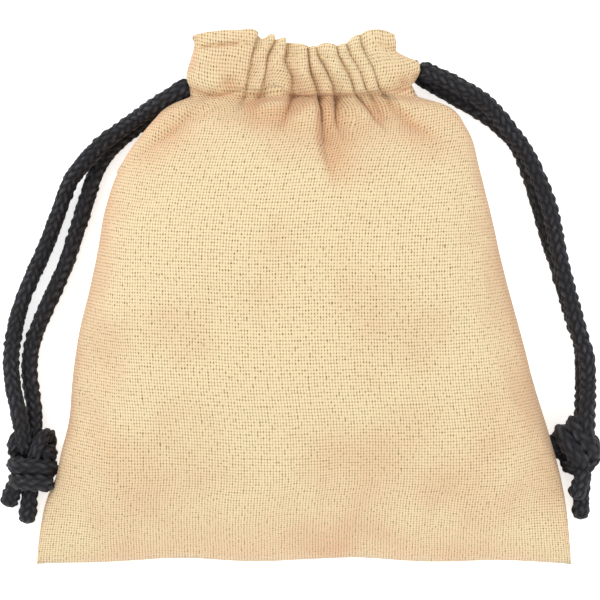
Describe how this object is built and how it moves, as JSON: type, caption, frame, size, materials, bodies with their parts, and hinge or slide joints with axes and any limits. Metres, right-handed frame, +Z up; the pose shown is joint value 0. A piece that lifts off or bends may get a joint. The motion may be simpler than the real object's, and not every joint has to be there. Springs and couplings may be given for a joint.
{
  "type": "drawstring gift pouch",
  "caption": "Small cotton muslin drawstring gift pouch lying on its back, mouth gathered shut on black braided cords that are knotted at each side.",
  "frame": {"origin": "centre of the pouch's bounding box, cords left out, on the table it lies on", "axes": "+X across the pouch, +Y from the bottom seam to the mouth, +Z up through the front panel"},
  "size_m": [0.1135, 0.0986, 0.025],
  "materials": {
    "cotton": "matte",
    "cotton_inside": "matte",
    "thread": "matte",
    "cord": "matte"
  },
  "bodies": {
    "pouch": {"front_panel": "cotton", "back_panel": "cotton", "left_seam_allowance": "cotton_inside", "right_seam_allowance": "cotton_inside", "bottom_seam_allowance": "cotton_inside", "back_facing": "cotton_inside", "back_casing": "cotton", "back_header": "cotton", "back_stitching": "thread"},
    "front_lip": {"front_facing": "cotton_inside", "front_casing": "cotton", "front_header": "cotton", "front_stitching": "thread"},
    "left_drawstring": {"left_back_run": "cord", "left_lower_turn": "cord", "left_front_tail": "cord", "left_back_tail": "cord", "left_knot": "cord", "left_front_end": "cord", "left_back_end": "cord"},
    "right_drawstring": {"right_back_run": "cord", "right_lower_turn": "cord", "right_front_tail": "cord", "right_back_tail": "cord", "right_knot": "cord", "right_front_end": "cord", "right_back_end": "cord"},
    "left_front_strand": {"left_front_run": "cord", "left_upper_turn": "cord"},
    "right_front_strand": {"right_front_run": "cord", "right_upper_turn": "cord"}
  },
  "joints": [
    {"name": "left_cord_draw", "type": "slide", "parent": "pouch", "child": "left_drawstring", "axis": [-1, 0, 0], "range_m": [0, 0.004]},
    {"name": "right_cord_draw", "type": "slide", "parent": "pouch", "child": "right_drawstring", "axis": [1, 0, 0], "range_m": [0, 0.004]},
    {"name": "mouth_open", "type": "hinge", "parent": "pouch", "child": "front_lip", "pos_m": [0, 0.0376, 0.0155], "axis": [1, 0, 0], "range_deg": [0, 30]},
    {"name": "left_strand_lift", "type": "hinge", "parent": "left_drawstring", "child": "left_front_strand", "pos_m": [0, 0.0376, 0.0155], "axis": [1, 0, 0], "range_deg": [0, 30]},
    {"name": "right_strand_lift", "type": "hinge", "parent": "right_drawstring", "child": "right_front_strand", "pos_m": [0, 0.0376, 0.0155], "axis": [1, 0, 0], "range_deg": [0, 30]}
  ],
  "couplings": [
    {"joint": "left_strand_lift", "follows": "mouth_open", "ratio": 1},
    {"joint": "right_strand_lift", "follows": "mouth_open", "ratio": 1}
  ]
}
